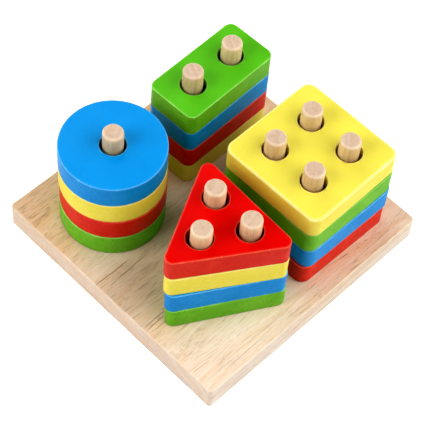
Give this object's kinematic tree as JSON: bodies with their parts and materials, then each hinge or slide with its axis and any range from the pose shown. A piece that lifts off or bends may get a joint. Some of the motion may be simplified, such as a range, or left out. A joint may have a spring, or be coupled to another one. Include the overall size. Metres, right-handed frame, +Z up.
{
  "type": "geometric peg stacker toy",
  "caption": "Square wooden board with upright dowel pegs that hold stacks of painted disc, rectangle, triangle and square blocks, which lift off upwards.",
  "frame": {"origin": "centre of the board's underside, on the surface the board rests on", "axes": "+Z up along the pegs; +X along the board's grain, with the disc and triangle stacks on the -X side; -Y is the front edge, with the triangle and square stacks nearest to it"},
  "size_m": [0.145, 0.143, 0.0783],
  "materials": {
    "board_wood": "bare sanded, matt",
    "peg_wood": "bare sanded, matt",
    "red_paint": "satin painted wood",
    "yellow_paint": "satin painted wood",
    "blue_paint": "satin painted wood",
    "green_paint": "satin painted wood"
  },
  "bodies": {
    "base": {"base_board": "board_wood", "peg_disc": "peg_wood", "peg_rectangle_left": "peg_wood", "peg_rectangle_right": "peg_wood", "peg_triangle_tip": "peg_wood", "peg_triangle_front": "peg_wood", "peg_triangle_back": "peg_wood", "peg_square_front_left": "peg_wood", "peg_square_front_right": "peg_wood", "peg_square_back_left": "peg_wood", "peg_square_back_right": "peg_wood"},
    "green_disc": {"green_disc": "green_paint"},
    "red_disc": {"red_disc": "red_paint"},
    "yellow_disc": {"yellow_disc": "yellow_paint"},
    "blue_disc": {"blue_disc": "blue_paint"},
    "yellow_rectangle": {"yellow_rectangle": "yellow_paint"},
    "red_rectangle": {"red_rectangle": "red_paint"},
    "blue_rectangle": {"blue_rectangle": "blue_paint"},
    "green_rectangle": {"green_rectangle": "green_paint"},
    "red_square": {"red_square": "red_paint"},
    "blue_square": {"blue_square": "blue_paint"},
    "green_square": {"green_square": "green_paint"},
    "yellow_square": {"yellow_square": "yellow_paint"},
    "green_triangle": {"green_triangle": "green_paint"},
    "blue_triangle": {"blue_triangle": "blue_paint"},
    "yellow_triangle": {"yellow_triangle": "yellow_paint"},
    "red_triangle": {"red_triangle": "red_paint"}
  },
  "joints": [
    {"name": "green_disc_lift", "type": "slide", "parent": "base", "child": "green_disc", "axis": [0, 0, 1], "range_m": [0, 0.066]},
    {"name": "red_disc_lift", "type": "slide", "parent": "green_disc", "child": "red_disc", "axis": [0, 0, 1], "range_m": [0, 0.0525]},
    {"name": "yellow_disc_lift", "type": "slide", "parent": "red_disc", "child": "yellow_disc", "axis": [0, 0, 1], "range_m": [0, 0.039]},
    {"name": "blue_disc_lift", "type": "slide", "parent": "yellow_disc", "child": "blue_disc", "axis": [0, 0, 1], "range_m": [0, 0.0255]},
    {"name": "yellow_rectangle_lift", "type": "slide", "parent": "base", "child": "yellow_rectangle", "axis": [0, 0, 1], "range_m": [0, 0.066]},
    {"name": "red_rectangle_lift", "type": "slide", "parent": "yellow_rectangle", "child": "red_rectangle", "axis": [0, 0, 1], "range_m": [0, 0.0525]},
    {"name": "blue_rectangle_lift", "type": "slide", "parent": "red_rectangle", "child": "blue_rectangle", "axis": [0, 0, 1], "range_m": [0, 0.039]},
    {"name": "green_rectangle_lift", "type": "slide", "parent": "blue_rectangle", "child": "green_rectangle", "axis": [0, 0, 1], "range_m": [0, 0.0255]},
    {"name": "red_square_lift", "type": "slide", "parent": "base", "child": "red_square", "axis": [0, 0, 1], "range_m": [0, 0.066]},
    {"name": "blue_square_lift", "type": "slide", "parent": "red_square", "child": "blue_square", "axis": [0, 0, 1], "range_m": [0, 0.0525]},
    {"name": "green_square_lift", "type": "slide", "parent": "blue_square", "child": "green_square", "axis": [0, 0, 1], "range_m": [0, 0.039]},
    {"name": "yellow_square_lift", "type": "slide", "parent": "green_square", "child": "yellow_square", "axis": [0, 0, 1], "range_m": [0, 0.0255]},
    {"name": "green_triangle_lift", "type": "slide", "parent": "base", "child": "green_triangle", "axis": [0, 0, 1], "range_m": [0, 0.066]},
    {"name": "blue_triangle_lift", "type": "slide", "parent": "green_triangle", "child": "blue_triangle", "axis": [0, 0, 1], "range_m": [0, 0.0525]},
    {"name": "yellow_triangle_lift", "type": "slide", "parent": "blue_triangle", "child": "yellow_triangle", "axis": [0, 0, 1], "range_m": [0, 0.039]},
    {"name": "red_triangle_lift", "type": "slide", "parent": "yellow_triangle", "child": "red_triangle", "axis": [0, 0, 1], "range_m": [0, 0.0255]}
  ]
}
